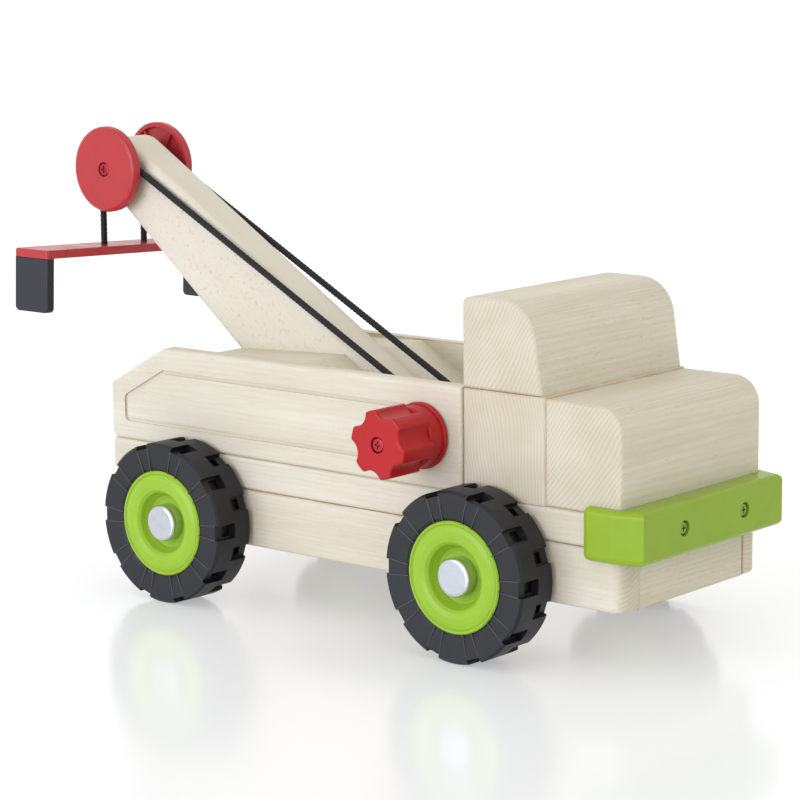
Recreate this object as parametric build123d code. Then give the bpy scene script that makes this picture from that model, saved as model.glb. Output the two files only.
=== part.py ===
from build123d import *
import math
import os

# Wooden toy truck with a winch crane on its back, in millimetres.
# +X is the truck's front, +Y its left side, +Z up. The origin is on the floor,
# under the middle of the whole object. "right" is the -Y side.

# ---- driving dimensions ------------------------------------------------------
# Lengths along X are measured from the body's rear end, heights from the floor.
BODY_LENGTH = 405.0
BODY_WIDTH = 140.0
X_REAR = -173.5                # rear end of the body, in the object's frame

RAIL_BOTTOM = 37.3             # heights of the three wooden layers
DECK_BOTTOM = 73.0
DECK_TOP = 93.0
PANEL_TOP = 155.4
ROOF_TOP = 208.5
EASE = 2.2                     # rounding on the edges of the wooden pieces

RAIL_THICKNESS = 17.0
RAIL_CORNER = 9.0
REAR_BLOCK = (20.0, 124.0)     # ends of the cross block over the rear axle
FRONT_BLOCK = 268.0            # rear end of the one over the front axle

PANEL_THICKNESS = 10.0
PANEL_LENGTH = 291.0
PANEL_SLANT_START = 129.0      # height of the slant at the rear edge
PANEL_SLANT_END = 48.0         # where it meets the top
PANEL_REAR_EASE = 5.0
PANEL_SHOULDER_EASE = 8.0
GROOVE_WIDTH = 2.6             # line routed into each side panel
GROOVE_DEPTH = 1.4
GROOVE_REAR = 12.3
GROOVE_FRONT = 262.0
GROOVE_LOW = 105.0
GROOVE_HIGH = 141.3
GROOVE_SHOULDER = 122.0
GROOVE_CORNER = 4.0

BED_REAR = 66.0                # crane bed blocks
BED_CREST = 154.0
BED_FRONT = 226.0
BED_REAR_TOP = 150.8
BED_CREST_TOP = 154.6
BED_SLOPE = 30.5

CAB_SPLIT = 351.6              # joint between the two lower cab blocks
CAB_GAP = 0.6                  # open joint between the side panels and the cab
HOOD_TOP = 154.6
HOOD_ROUND = 16.5
ROOF_REAR = 291.4
ROOF_BRIM = 348.8              # foot of the windscreen slope
SCREEN_TOP = 340.8
ROOF_ROUND = 23.5
ROOF_REAR_ROUND = 4.0

DOWEL_RADIUS = 5.0
DOWEL_DEPTH = 14.0
DOWEL_INSET = 38.0             # cab dowels, from the middle plane
BOOM_DOWELS = [(112.0, 118.0), (172.0, 112.0)]

BOOM_HALF = 15.3
BOOM_TIP = 18.8                # radius of the rounded tip, then its middle
BOOM_TIP_X = -45.0
BOOM_TIP_Z = 262.6
BOOM_FRONT = 232.0
BOOM_EASE = 5.0
BOOM_TOP_SLOPE = 31.86
BOOM_LOW_SLOPE = 39.70

TYRE_RADIUS = 50.75
TYRE_WIDTH = 29.2
WHEEL_GAP = 2.5                # between a rail and the tyre
RIM_RADIUS = 33.2
REAR_AXLE = 73.6
FRONT_AXLE = 309.0
AXLE_RADIUS = 4.0
AXLE_INSET = 4.0               # from a tyre's outer face to the end of the axle
RUNNING_FIT = 0.06
CAP_RADIUS = 11.4
CAP_DEPTH = 8.6
CAP_BEVEL = 1.1
SIDEWALL = 49.3                # radius of the flat side of a tyre
TYRE_BEVEL = 1.4
LUGS = 10
LUG_START = 0.5                # half a pitch, so that a whole lug stands on the floor
LUG_GAP = 9.4                  # along the tread
LUG_LENGTH = 14.8              # gap between lugs, from the sidewall to past the middle
TREAD_SHALLOW = 3.1
TREAD_DEEP = 6.0
POCKET_START = 5.6             # deep pocket in that gap, from the sidewall
POCKET_LENGTH = 7.6
POCKET_WIDTH = 6.6

SCREW_SHANK = 1.8              # radii, then the screws' lengths
SCREW_HEAD = 4.0
KNOB_HEAD = 4.4
PULLEY_SHANK = 2.5
PULLEY_HEAD = 4.4
BUMPER_SCREW = 26.0
PULLEY_SCREW = 23.0
KNOB_SCREW = 48.0

PULLEY_X = -45.5               # behind the rear end
PULLEY_Z = 260.9
PULLEY_RADIUS = 28.2
PULLEY_INNER = 21.5            # disc, from the middle plane
PULLEY_OUTER = 28.1
PULLEY_HUB = 8.4
PULLEY_WEB = 3.2               # thickness of the disc inside its rim
PULLEY_SEAT = 2.4              # depth of the recess for the screw's head
RIB_COUNT = 6
RIB_THICKNESS = 1.6

WINCH_X = 261.4
WINCH_Z = 124.0
SHAFT_RADIUS = 10.4
SHAFT_END = 78.0
KNOB_RADIUS = 20.5
KNOB_BASE_RADIUS = 18.6
KNOB_FLANGE_RADIUS = 20.0
KNOB_LOBES = 6
KNOB_VALLEY = 8.2              # radius of the hollows between its lobes
KNOB_VALLEY_PLACE = 24.7       # and their distance from the middle
KNOB_BASE = 71.2               # knob, from the middle plane
KNOB_FLANGE = 73.4
KNOB_STAR = 84.0
KNOB_FRONT = 111.0
KNOB_PHASE = 45.3

CORD_RADIUS = 2.25
CORD_Y = 18.5                  # cords, from the middle plane
COIL_TURNS = 3
COIL_GAP = 0.4                 # between a cord's run and the turns beside it
PULLEY_BEND = 10.6             # radii of the cord's bends
SHAFT_BEND = 12.6
OVER_PULLEY = [(-56.5, 263.8), (-53.6, 268.8), (-48.7, 271.8), (-42.9, 272.0)]
ROUND_SHAFT = [(258.7, 110.7), (266.5, 111.4), (272.5, 116.3), (275.0, 123.7), (272.9, 131.2), (267.1, 136.3)]
CORD_START = (-56.5, 260.9)    # (x, z) of the cord's route, behind the pulley, then on top of the shaft
CORD_END = (263.2, 136.9)
DROP_X = -56.5                 # hanging ends of the cords

BAR_TOP = 209.0
BAR_THICKNESS = 5.5
BAR_WIDTH = 31.5
BAR_LENGTH = 163.0
BAR_TILT = -2.6                # the bar hangs a little lower on its left side
BAR_SHIFT = -3.0               # and a little to the right on its cords
BAR_SKIN = 1.8                 # plastic left above the hollows for the knots
LEG_THICKNESS = 2.0
LEG_WIDTH = 24.0
LEG_BOTTOM = 176.0
FOOT_BOTTOM = 168.0
FOOT_THICKNESS = 6.0
FOOT_ROUND = 3.5
KNOT_RADIUS = 3.9
KNOT_GAP = 0.9                 # from a knot to the bar's underside

BUMPER_BOTTOM = 67.0
BUMPER_TOP = 97.8
BUMPER_FRONT = 420.5
BUMPER_REACH = 381.0           # rear ends of its two arms
BUMPER_WALL = 6.0
BUMPER_FIT = 0.4               # between the bumper and the deck board
BUMPER_CHAMFER = 17.0          # cut corner in plan, along X
BUMPER_CORNER = 5.5            # and along Y
BUMPER_BEND = 8.0              # rounding of its corners in plan
BUMPER_TOP_ROUND = 3.6
BUMPER_LOW_ROUND = 4.0
SCREW_Y = 30.8
SCREW_Z = 82.8

HALF = BODY_WIDTH / 2
TYRE_INNER = HALF + WHEEL_GAP
TYRE_OUTER = TYRE_INNER + TYRE_WIDTH
CAP_INNER = TYRE_OUTER - CAP_DEPTH
KNOB_SEAT = KNOB_FRONT - 2.2
SIDES = {"right": -1, "left": 1}


# ---- helpers -------------------------------------------------------------------
def along(x):
    """Place measured from the body's rear end, in the object's frame."""
    return X_REAR + x


def block(x0, x1, y0, y1, z0, z1):
    """Square block between two corners, x measured from the body's rear end."""
    size = (x1 - x0, y1 - y0, z1 - z0)
    middle = Vector(along((x0 + x1) / 2), (y0 + y1) / 2, (z0 + z1) / 2)
    return Location(middle) * Box(*size)


def rod(radius, x, z, y0, y1):
    """Round bar along Y."""
    middle = Location((along(x), (y0 + y1) / 2, z))
    return middle * Rotation(90, 0, 0) * Cylinder(radius, abs(y1 - y0))


def slab(outline, y0, y1):
    """Plate standing in XZ: a sketch in (x from the rear end, z), given thickness along Y."""
    plane = Plane(origin=(X_REAR, y1, 0), x_dir=(1, 0, 0), z_dir=(0, -1, 0))
    return extrude(plane * outline, amount=y1 - y0)


def turned(points, x, z):
    """Solid turned about an axis along Y, from (radius, y) corners."""
    outline = make_face(Polyline(*points, close=True))
    return Location((along(x), 0, z)) * revolve(outline, Axis.Y)


def for_side(solid, side):
    """A piece drawn for the right side (-Y), mirrored for the left."""
    return solid if side < 0 else mirror(solid, about=Plane.XZ)


def save(name, *solids):
    """One STEP file for each named piece."""
    shape = solids[0] if len(solids) == 1 else Compound(children=[Compound([s]) for s in solids])
    export_step(shape, f"parts/{name}.step")


# ---- chassis and body ----------------------------------------------------------
def chassis_rail(side):
    outer, inner = HALF, HALF - RAIL_THICKNESS
    rail = block(0, BODY_LENGTH, -outer, -inner, RAIL_BOTTOM, DECK_BOTTOM)
    upright = rail.edges().filter_by(Axis.Z)
    corners = [e for e in upright if e.center().Y < -outer + 1]
    rail = fillet(corners, RAIL_CORNER)
    rail = fillet(rail.faces().sort_by(Axis.Z)[0].edges(), EASE)
    for axle in (REAR_AXLE, FRONT_AXLE):
        rail -= rod(AXLE_RADIUS + RUNNING_FIT, axle, TYRE_RADIUS, -outer - 1, -inner + 1)
    return for_side(rail, side)


def cross_block(x0, x1, axle):
    inner = HALF - RAIL_THICKNESS
    bar = block(x0, x1, -inner, inner, RAIL_BOTTOM, DECK_BOTTOM)
    bar = fillet(bar.edges().filter_by(Axis.Y) + bar.edges().filter_by(Axis.Z), EASE / 2)
    return bar - rod(AXLE_RADIUS + RUNNING_FIT, axle, TYRE_RADIUS, -inner - 1, inner + 1)


def deck_board():
    deck = block(0, BODY_LENGTH, -HALF, HALF, DECK_BOTTOM, DECK_TOP)
    deck = fillet(deck.edges().filter_by(Axis.Z), EASE * 1.4)
    deck = fillet(deck.faces().sort_by(Axis.X)[0].edges().filter_by(Axis.Y), EASE)
    for y in (-SCREW_Y, SCREW_Y):
        hole = Location((along(BODY_LENGTH - 8), y, SCREW_Z)) * Rotation(0, 90, 0) * Cylinder(SCREW_SHANK, 18)
        deck -= hole
    for x, y in dowel_places():
        deck -= upright_pin(x, y, DECK_TOP - DOWEL_DEPTH, DECK_TOP + 1)
    return deck


def groove_outline(inset):
    """Closed outline of the routed line on a side panel, moved inwards by inset."""
    low, high = GROOVE_LOW + inset, GROOVE_HIGH - inset
    rear, front = GROOVE_REAR + inset, GROOVE_FRONT - inset
    slope = (PANEL_TOP - PANEL_SLANT_START) / PANEL_SLANT_END
    shoulder = GROOVE_SHOULDER - inset * 0.6
    run = rear + (high - shoulder) / slope
    corners = [(rear, low), (front, low), (front, high), (run, high), (rear, shoulder)]
    face = make_face(Polyline(*corners, close=True))
    return fillet(face.vertices(), GROOVE_CORNER - inset * 0.5)


def side_panel(side):
    corners = [
        (0, DECK_TOP),
        (PANEL_LENGTH, DECK_TOP),
        (PANEL_LENGTH, PANEL_TOP),
        (PANEL_SLANT_END, PANEL_TOP),
        (0, PANEL_SLANT_START),
    ]
    outline = make_face(Polyline(*corners, close=True))
    rear_low = outline.vertices().sort_by(Axis.X)[:2].sort_by(Axis.Y)[0]
    outline = fillet(rear_low, PANEL_REAR_EASE)
    outline = fillet(outline.vertices().sort_by(Axis.Y)[-2:].sort_by(Axis.X)[0], PANEL_SHOULDER_EASE)
    panel = slab(outline, -HALF, -HALF + PANEL_THICKNESS)
    outside = panel.faces().sort_by(Axis.Y)[0]
    panel = fillet(outside.edges(), EASE)
    rim = groove_outline(0) - groove_outline(GROOVE_WIDTH)
    panel -= slab(rim, -HALF - 1, -HALF + GROOVE_DEPTH)
    panel -= rod(SHAFT_RADIUS + RUNNING_FIT, WINCH_X, WINCH_Z, -HALF - 1, -HALF + PANEL_THICKNESS + 1)
    return for_side(panel, side)


def bed_block(side):
    fall = math.tan(math.radians(BED_SLOPE)) * (BED_FRONT - BED_CREST)
    corners = [
        (BED_REAR, DECK_TOP),
        (BED_FRONT, DECK_TOP),
        (BED_FRONT, BED_CREST_TOP - fall),
        (BED_CREST, BED_CREST_TOP),
        (BED_REAR, BED_REAR_TOP),
    ]
    outline = make_face(Polyline(*corners, close=True))
    solid = slab(outline, -HALF + PANEL_THICKNESS, -BOOM_HALF)
    across = solid.edges().filter_by(Axis.Y)
    solid = fillet([e for e in across if e.center().Z > DECK_TOP + 1], EASE / 2)
    for x, z in BOOM_DOWELS:
        solid -= rod(DOWEL_RADIUS, x, z, -BOOM_HALF - DOWEL_DEPTH, -BOOM_HALF + 1)
    return for_side(solid, side)


# ---- cab ------------------------------------------------------------------------
def dowel_places():
    rear = (PANEL_LENGTH + CAB_SPLIT) / 2
    front = (CAB_SPLIT + BODY_LENGTH) / 2 - 4
    return [(x, y) for x in (rear, front) for y in (-DOWEL_INSET, DOWEL_INSET)]


def roof_dowel_places():
    return dowel_places()[:2]


def upright_pin(x, y, z0, z1, radius=DOWEL_RADIUS):
    return Location((along(x), y, (z0 + z1) / 2)) * Cylinder(radius, z1 - z0)


def cab_rear_block():
    solid = block(PANEL_LENGTH + CAB_GAP, CAB_SPLIT, -HALF, HALF, DECK_TOP, PANEL_TOP)
    solid = fillet(solid.edges().filter_by(Axis.Z), EASE)
    for x, y in roof_dowel_places():
        solid -= upright_pin(x, y, PANEL_TOP - DOWEL_DEPTH, PANEL_TOP + 1)
        solid -= upright_pin(x, y, DECK_TOP - 1, DECK_TOP + DOWEL_DEPTH)
    return solid


def hood_block():
    corners = [(CAB_SPLIT, DECK_TOP), (BODY_LENGTH, DECK_TOP), (BODY_LENGTH, HOOD_TOP), (CAB_SPLIT, HOOD_TOP)]
    outline = make_face(Polyline(*corners, close=True))
    nose = outline.vertices().sort_by(Axis.X)[-2:].sort_by(Axis.Y)[-1]
    solid = slab(fillet(nose, HOOD_ROUND), -HALF, HALF)
    for y in (-HALF, HALF):
        end = [f for f in solid.faces() if abs(f.center().Y - y) < 0.1][0]
        solid = fillet(end.edges(), EASE * 0.8)
    for x, y in dowel_places()[2:]:
        solid -= upright_pin(x, y, DECK_TOP - 1, DECK_TOP + DOWEL_DEPTH)
    return solid


def cab_roof_block():
    corners = [
        (ROOF_REAR, PANEL_TOP),
        (ROOF_BRIM, PANEL_TOP),
        (SCREEN_TOP, ROOF_TOP),
        (ROOF_REAR, ROOF_TOP),
    ]
    outline = make_face(Polyline(*corners, close=True))
    brow = outline.vertices().sort_by(Axis.Y)[-2:].sort_by(Axis.X)[-1]
    outline = fillet(brow, ROOF_ROUND)
    back = outline.vertices().sort_by(Axis.X)[:2].sort_by(Axis.Y)[-1]
    solid = slab(fillet(back, ROOF_REAR_ROUND), -HALF, HALF)
    for y in (-HALF, HALF):
        end = [f for f in solid.faces() if abs(f.center().Y - y) < 0.1][0]
        solid = fillet(end.edges(), EASE)
    for x, y in roof_dowel_places():
        solid -= upright_pin(x, y, PANEL_TOP - 1, PANEL_TOP + DOWEL_DEPTH)
    return solid


def cab_dowels():
    places = [(x, y, DECK_TOP) for x, y in dowel_places()]
    places += [(x, y, PANEL_TOP) for x, y in roof_dowel_places()]
    return [upright_pin(x, y, joint - DOWEL_DEPTH, joint + DOWEL_DEPTH) for x, y, joint in places]


# ---- boom -----------------------------------------------------------------------
def boom():
    top, low = math.radians(BOOM_TOP_SLOPE), math.radians(BOOM_LOW_SLOPE)
    middle = (top + low) / 2
    centre = Vector(BOOM_TIP_X, BOOM_TIP_Z)
    tip_top = centre + BOOM_TIP * Vector(math.sin(top), math.cos(top))
    tip_low = centre - BOOM_TIP * Vector(math.sin(low), math.cos(low))
    nose = centre + BOOM_TIP * Vector(-math.cos(middle), math.sin(middle))
    front_top = Vector(BOOM_FRONT, tip_top.Y - (BOOM_FRONT - tip_top.X) * math.tan(top))
    rear_low = Vector(BED_REAR, tip_low.Y - (BED_REAR - tip_low.X) * math.tan(low))
    with BuildSketch() as sketch:
        with BuildLine():
            ThreePointArc(tip_low, nose, tip_top)
            Polyline(tip_top, front_top, (BOOM_FRONT, DECK_TOP), (BED_REAR, DECK_TOP), rear_low, tip_low)
        make_face()
    solid = slab(sketch.sketch, -BOOM_HALF, BOOM_HALF)
    outer = [e for e in solid.edges() if abs(e.center().Y) > BOOM_HALF - 0.1]
    solid = fillet([e for e in outer if e.center().Z > PANEL_TOP], BOOM_EASE)
    for x, z in BOOM_DOWELS:
        solid -= rod(DOWEL_RADIUS, x, z, -BOOM_HALF - 1, BOOM_HALF + 1)
    for side in (-1, 1):
        solid -= rod(PULLEY_SHANK, PULLEY_X, PULLEY_Z, side * 2, side * (BOOM_HALF + 1))
    return solid


def boom_dowels():
    reach = BOOM_HALF + DOWEL_DEPTH
    return [rod(DOWEL_RADIUS, x, z, -reach, reach) for x, z in BOOM_DOWELS]


# ---- bumper -----------------------------------------------------------------------
def bumper():
    inner = HALF + BUMPER_FIT
    outer = inner + BUMPER_WALL
    face, back = BUMPER_FRONT, BODY_LENGTH + BUMPER_FIT
    half = [(back, 0), (back, inner), (BUMPER_REACH, inner), (BUMPER_REACH, outer)]
    half += [(face - BUMPER_CHAMFER, outer), (face, outer - BUMPER_CORNER), (face, 0)]
    outline = make_face(Polyline(*half, close=True))
    outline += mirror(outline, about=Plane.XZ)
    bends = [v for v in outline.vertices() if v.X > face - 25 and abs(v.Y) > inner + 0.5]
    outline = fillet(bends, BUMPER_BEND)
    ends = [v for v in outline.vertices() if v.X < BUMPER_REACH + 1 and abs(v.Y) > inner + 0.5]
    outline = fillet(ends, BUMPER_WALL - 1)
    solid = extrude(Location((X_REAR, 0, BUMPER_BOTTOM)) * outline, amount=BUMPER_TOP - BUMPER_BOTTOM)
    low = solid.faces().sort_by(Axis.Z)[0]
    rim = [e for e in low.edges() if e.center().X > along(back + 1) or abs(e.center().Y) > inner + 1]
    solid = fillet(rim, BUMPER_LOW_ROUND)
    high = solid.faces().sort_by(Axis.Z)[-1]
    rim = [e for e in high.edges() if e.center().X > along(back + 1) or abs(e.center().Y) > inner + 1]
    solid = fillet(rim, BUMPER_TOP_ROUND)
    for y in (-SCREW_Y, SCREW_Y):
        solid -= Location((along(face - 1), y, SCREW_Z)) * Rotation(0, 90, 0) * Cylinder(SCREW_HEAD + 0.7, 4)
        solid -= Location((along(face - 8), y, SCREW_Z)) * Rotation(0, 90, 0) * Cylinder(SCREW_SHANK, 30)
    return solid


# ---- fasteners ----------------------------------------------------------------------
def cross_screw(head, head_height, shank, length):
    """Pan head screw pointing along +Z, its head above z = 0, with a cross recess."""
    dome = Location((0, 0, head_height / 2)) * Cylinder(head, head_height)
    dome = fillet(dome.faces().sort_by(Axis.Z)[-1].edges(), head_height * 0.55)
    for turn in (0, 90):
        slot = Box(head * 1.0, head * 0.22, head_height)
        dome -= Location((0, 0, head_height)) * Rotation(0, 0, turn) * slot
    return dome + Location((0, 0, -length / 2)) * Cylinder(shank, length)


def bumper_screws():
    seat = along(BUMPER_FRONT - 3)
    screw = cross_screw(SCREW_HEAD, 2.2, SCREW_SHANK, BUMPER_SCREW)
    return [Location((seat, y, SCREW_Z), (0, 90, 0)) * screw for y in (-SCREW_Y, SCREW_Y)]


def facing_side(side):
    """Turns +Z to point out of the given side."""
    return Rotation(90 if side < 0 else -90, 0, 0)


def pulley_screws():
    screw = cross_screw(PULLEY_HEAD, 2.0, PULLEY_SHANK, PULLEY_SCREW)
    seat = PULLEY_OUTER - PULLEY_SEAT + 0.2
    return [Location((along(PULLEY_X), s * seat, PULLEY_Z)) * facing_side(s) * screw for s in (-1, 1)]


def knob_screws():
    screw = cross_screw(KNOB_HEAD, 1.8, SCREW_SHANK, KNOB_SCREW)
    return [Location((along(WINCH_X), s * KNOB_SEAT, WINCH_Z)) * facing_side(s) * screw for s in (-1, 1)]


# ---- wheels ---------------------------------------------------------------------------
def axle(x):
    return rod(AXLE_RADIUS, x, TYRE_RADIUS, -TYRE_OUTER + AXLE_INSET, TYRE_OUTER - AXLE_INSET)


def axle_cap(x, side):
    points = [(0, CAP_INNER), (CAP_RADIUS, CAP_INNER), (CAP_RADIUS, TYRE_OUTER - CAP_BEVEL)]
    points += [(CAP_RADIUS - CAP_BEVEL / 2, TYRE_OUTER - CAP_BEVEL / 4)]
    points += [(CAP_RADIUS - 1.5 * CAP_BEVEL, TYRE_OUTER), (0, TYRE_OUTER)]
    cap = turned([(r, -y) for r, y in points], x, TYRE_RADIUS)
    cap -= rod(AXLE_RADIUS, x, TYRE_RADIUS, -CAP_INNER + 1, -TYRE_OUTER + AXLE_INSET)
    return for_side(cap, side)


def wheel_hub(x, side):
    out = TYRE_OUTER
    points = [
        (AXLE_RADIUS + RUNNING_FIT, HALF + 0.8),
        (13.0, HALF + 0.8),
        (14.0, TYRE_INNER + 5.0),
        (29.5, TYRE_INNER + 5.0),
        (30.5, TYRE_INNER + 2.0),
        (RIM_RADIUS, TYRE_INNER + 2.0),
        (RIM_RADIUS, out - 1.2),
        (32.4, out - 0.4),
        (31.6, out - 0.5),
        (30.9, out - 1.3),
        (30.1, out - 0.8),
        (27.5, out - 0.1),
        (24.0, out),
        (21.0, out - 0.7),
        (19.4, out - 2.2),
        (18.2, out - 5.0),
        (16.4, out - 7.8),
        (14.2, out - 8.9),
        (AXLE_RADIUS + RUNNING_FIT, out - 8.9),
    ]
    return for_side(turned([(r, -y) for r, y in points], x, TYRE_RADIUS), side)


def tread_cut(width, depth, y0, y1, turn, x):
    """Box that cuts into the tread from outside, turned about the wheel's axle."""
    outer = TYRE_RADIUS + 3
    size = (width, abs(y1 - y0), outer - TYRE_RADIUS + depth)
    cutter = Location((0, (y0 + y1) / 2, (outer + TYRE_RADIUS - depth) / 2)) * Box(*size)
    return Location((along(x), 0, TYRE_RADIUS)) * Rotation(0, turn, 0) * cutter


def tyre(x, side):
    points = [
        (RIM_RADIUS, TYRE_INNER + 2.0),
        (35.0, TYRE_INNER + 0.6),
        (SIDEWALL, TYRE_INNER),
        (TYRE_RADIUS, TYRE_INNER + TYRE_BEVEL),
        (TYRE_RADIUS, TYRE_OUTER - TYRE_BEVEL),
        (SIDEWALL, TYRE_OUTER),
        (35.0, TYRE_OUTER - 0.6),
        (RIM_RADIUS, TYRE_OUTER - 1.6),
    ]
    body = turned([(r, -y) for r, y in points], x, TYRE_RADIUS)
    cutters = []
    for lug in range(LUGS):
        turn = 360 / LUGS * lug
        for edge, way, offset in ((TYRE_OUTER, -1, 0.0), (TYRE_INNER, 1, 0.5)):
            angle = turn + 360 / LUGS * (offset + LUG_START)
            gap_end = edge + way * LUG_LENGTH
            pocket = edge + way * POCKET_START
            pocket_end = pocket + way * POCKET_LENGTH
            cutters.append(tread_cut(LUG_GAP, TREAD_SHALLOW, -edge + way, -gap_end, angle, x))
            cutters.append(tread_cut(POCKET_WIDTH, TREAD_DEEP, -pocket, -pocket_end, angle, x))
    for cutter in cutters:
        body -= cutter
    return for_side(body, side)


# ---- winch ------------------------------------------------------------------------------
def winch_shaft():
    shaft = rod(SHAFT_RADIUS, WINCH_X, WINCH_Z, -SHAFT_END, SHAFT_END)
    for s in (-1, 1):
        shaft -= rod(SCREW_SHANK, WINCH_X, WINCH_Z, s * (KNOB_SEAT - KNOB_SCREW), s * (SHAFT_END + 1))
    return shaft


def winch_knob(side):
    star = Circle(KNOB_RADIUS)
    for lobe in range(KNOB_LOBES):
        angle = math.radians(KNOB_PHASE + 360 / KNOB_LOBES * (lobe + 0.5))
        hollow = Vector(math.cos(angle), math.sin(angle)) * KNOB_VALLEY_PLACE
        star -= Location(hollow) * Circle(KNOB_VALLEY)
    star = fillet(star.vertices(), 1.6)
    centre = Location((WINCH_X, WINCH_Z))
    body = slab(centre * star, -KNOB_FRONT, -KNOB_STAR)
    body = fillet(body.faces().sort_by(Axis.Y)[0].edges(), 1.4)
    neck = slab(centre * Circle(KNOB_BASE_RADIUS), -KNOB_STAR, -KNOB_FLANGE)
    body += fillet(neck.faces().sort_by(Axis.Y)[0].edges(), 1.6)
    flange = slab(centre * Circle(KNOB_FLANGE_RADIUS), -KNOB_FLANGE, -KNOB_BASE)
    body += fillet(flange.faces().sort_by(Axis.Y)[0].edges(), 1.0)
    body -= rod(SHAFT_RADIUS, WINCH_X, WINCH_Z, -KNOB_BASE + 1, -SHAFT_END)
    body -= rod(SCREW_SHANK, WINCH_X, WINCH_Z, -SHAFT_END + 1, -KNOB_FRONT - 1)
    body -= rod(KNOB_HEAD + 0.5, WINCH_X, WINCH_Z, -KNOB_SEAT, -KNOB_FRONT - 1)
    return for_side(body, side)


def winch_coil(side):
    """The turns wound on the shaft, as the closed sleeve that they fill."""
    radius = SHAFT_RADIUS + 2 * CORD_RADIUS
    y0 = CORD_Y + CORD_RADIUS + COIL_GAP
    y1 = y0 + COIL_TURNS * 2 * CORD_RADIUS
    sleeve = rod(radius, WINCH_X, WINCH_Z, -y1, -y0) - rod(SHAFT_RADIUS, WINCH_X, WINCH_Z, -y1 - 1, -y0 + 1)
    rims = [e for e in sleeve.edges().filter_by(GeomType.CIRCLE) if e.radius > radius - 0.1]
    return for_side(fillet(rims, CORD_RADIUS * 0.9), side)


# ---- pulleys -------------------------------------------------------------------------------
def pulley(side):
    points = [
        (PULLEY_SHANK + RUNNING_FIT, BOOM_HALF + 0.5),
        (PULLEY_HUB, BOOM_HALF + 0.5),
        (PULLEY_HUB, PULLEY_INNER + PULLEY_WEB),
        (PULLEY_RADIUS - 3.6, PULLEY_INNER + PULLEY_WEB),
        (PULLEY_RADIUS - 3.0, PULLEY_INNER),
        (PULLEY_RADIUS - 0.6, PULLEY_INNER),
        (PULLEY_RADIUS, PULLEY_INNER + 0.6),
        (PULLEY_RADIUS, PULLEY_OUTER - 2.2),
        (PULLEY_RADIUS - 0.7, PULLEY_OUTER - 0.7),
        (PULLEY_RADIUS - 2.2, PULLEY_OUTER),
        (PULLEY_HEAD + 0.5, PULLEY_OUTER),
        (PULLEY_HEAD + 0.5, PULLEY_OUTER - PULLEY_SEAT),
        (PULLEY_SHANK + RUNNING_FIT, PULLEY_OUTER - PULLEY_SEAT),
    ]
    disc = turned([(r, -y) for r, y in points], PULLEY_X, PULLEY_Z)
    start, end = PULLEY_HUB - 0.6, PULLEY_RADIUS - 2.9
    for rib in range(RIB_COUNT):
        bar = Box(end - start, PULLEY_WEB - 0.8, RIB_THICKNESS)
        bar = Location(((start + end) / 2, -PULLEY_INNER - 2.2, 0)) * bar
        disc += Location((along(PULLEY_X), 0, PULLEY_Z)) * Rotation(0, 360 / RIB_COUNT * rib, 0) * bar
    return for_side(disc, side)


# ---- cords ----------------------------------------------------------------------------------
def cord_tube(y):
    """A cord's fixed stretch: straight runs joined by tangent arcs, from the pulley to the shaft."""
    points = [CORD_START] + OVER_PULLEY + ROUND_SHAFT + [CORD_END]
    radii = [PULLEY_BEND] * len(OVER_PULLEY) + [SHAFT_BEND] * len(ROUND_SHAFT)
    path = FilletPolyline(*[Vector(along(x), y, z) for x, z in points], radius=radii)
    tube = sweep(Plane(origin=path @ 0, z_dir=path % 0) * Circle(CORD_RADIUS), path=path)
    share = tube.volume / (math.pi * CORD_RADIUS ** 2 * path.length)
    print("cord", round(path.length, 1), "mm, bend radii", radii, "volume share", round(share, 4))
    return tube


def hoist_run(side):
    return cord_tube(side * CORD_Y)


def tilted(solid):
    """Turns a piece of the hanging bar about the bar's middle."""
    middle = Location((along(DROP_X), 0, BAR_TOP))
    shift = Location((0, BAR_SHIFT, 0))
    return shift * middle * Rotation(BAR_TILT, 0, 0) * middle.inverse() * solid


def bar_height(y):
    """Height of the tilted bar's top at a place along it."""
    return BAR_TOP + (y - BAR_SHIFT) * math.tan(math.radians(BAR_TILT))


def hoist_drop(side):
    low = bar_height(side * CORD_Y) - BAR_SKIN
    return upright_pin(DROP_X, side * CORD_Y, low, CORD_START[1], CORD_RADIUS)


def hoist_knot(side):
    depth = BAR_THICKNESS - BAR_SKIN - KNOT_GAP
    high = bar_height(side * CORD_Y) - BAR_SKIN
    return upright_pin(DROP_X, side * CORD_Y, high - depth, high, KNOT_RADIUS)


# ---- lifting bar --------------------------------------------------------------------------------
def bar_leg(grow=0.0):
    """Leg of the bar inside its foot, or the slot for it when grown."""
    middle = BAR_LENGTH / 2 - FOOT_THICKNESS / 2
    y0, y1 = -middle - LEG_THICKNESS / 2 - grow, -middle + LEG_THICKNESS / 2 + grow
    reach = LEG_WIDTH / 2 + grow
    return block(DROP_X - reach, DROP_X + reach, y0, y1, LEG_BOTTOM - grow, BAR_TOP - BAR_THICKNESS)


def lifting_bar():
    reach, half = BAR_WIDTH / 2, BAR_LENGTH / 2
    under = BAR_TOP - BAR_THICKNESS
    plate = block(DROP_X - reach, DROP_X + reach, -half, half, under, BAR_TOP)
    plate = fillet(plate.edges().filter_by(Axis.Z), 2.0)
    plate = fillet(plate.faces().sort_by(Axis.Z)[-1].edges(), 1.2)
    for side in (-1, 1):
        plate += for_side(bar_leg(), side)
    plate = tilted(plate)
    for side in (-1, 1):
        y = side * CORD_Y
        ceiling = bar_height(y) - BAR_SKIN
        plate -= upright_pin(DROP_X, y, under - BAR_THICKNESS, BAR_TOP + BAR_THICKNESS, CORD_RADIUS + 0.1)
        plate -= upright_pin(DROP_X, y, under - BAR_THICKNESS, ceiling, KNOT_RADIUS + 0.3)
    return plate


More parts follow.
